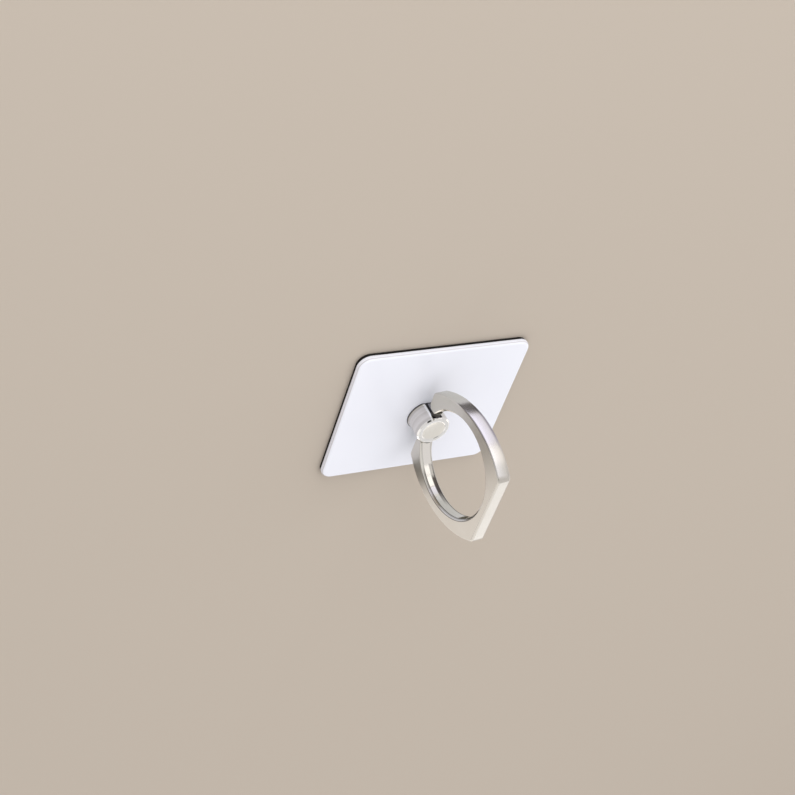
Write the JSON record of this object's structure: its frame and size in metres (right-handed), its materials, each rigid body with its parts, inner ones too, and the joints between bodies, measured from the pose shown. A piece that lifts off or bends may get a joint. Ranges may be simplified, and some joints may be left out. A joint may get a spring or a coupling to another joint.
{
  "type": "phone ring holder",
  "caption": "Stick-on plate with a swivelling post that carries a hinged finger ring, used to grip a phone or prop it up on a table.",
  "frame": {"origin": "middle of the sticky face, on the surface that the holder is stuck to", "axes": "+X along the plate's long side, +Y along its short side and along the ring's hinge at rest, +Z out of the plate"},
  "size_m": [0.0404, 0.035, 0.0295],
  "materials": {
    "pad_foam": "matte dark foam tape",
    "plate_lacquer": "gloss white lacquer",
    "post_chrome": "polished plating",
    "ring_nickel": "satin pearl nickel plating with polished edges",
    "pin_steel": "ground steel",
    "washer_steel": "bright steel",
    "sleeve_plastic": "moulded plastic"
  },
  "bodies": {
    "plate": {"base_plate": "plate_lacquer", "adhesive_pad": "pad_foam"},
    "post": {"swivel_post": "post_chrome", "spring_washer": "washer_steel", "retaining_washer": "washer_steel", "friction_sleeve": "sleeve_plastic"},
    "ring": {"finger_ring": "ring_nickel", "hinge_pin": "pin_steel", "hinge_washer_upper": "washer_steel", "hinge_washer_lower": "washer_steel"}
  },
  "joints": [
    {"name": "post_swivel", "type": "hinge", "parent": "plate", "child": "post", "pos_m": [0, -0.0012, 0.0017], "axis": [0, 0, 1], "continuous": true},
    {"name": "ring_hinge", "type": "hinge", "parent": "post", "child": "ring", "pos_m": [0, -0.0012, 0.0051], "axis": [0, 1, 0], "range_deg": [-95, 85]}
  ]
}
